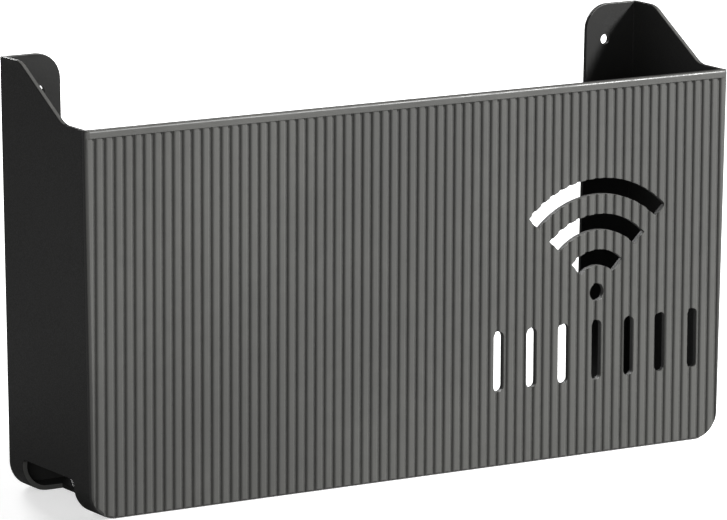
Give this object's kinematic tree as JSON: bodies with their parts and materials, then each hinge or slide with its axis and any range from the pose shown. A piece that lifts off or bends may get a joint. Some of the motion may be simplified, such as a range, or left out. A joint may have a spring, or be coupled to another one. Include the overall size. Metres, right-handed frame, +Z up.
{
  "type": "wall-mounted router rack",
  "caption": "Wall rack that hides a wireless router: ribbed front with signal-shaped cut-outs, open top and back, ears with screw holes, and corner notches for cables.",
  "frame": {"origin": "underside of the floor, midway across the rack and midway between its front and the wall", "axes": "+X to the right as seen from the front, +Y from the front towards the wall, +Z up"},
  "size_m": [0.3508, 0.08, 0.2026],
  "materials": {
    "charcoal_plastic": "fine satin texture, moulded",
    "black_plastic": "fine satin texture, moulded"
  },
  "bodies": {
    "root": {"front_panel": "charcoal_plastic", "left_bracket": "black_plastic", "right_bracket": "black_plastic", "floor_panel": "black_plastic"}
  },
  "joints": []
}
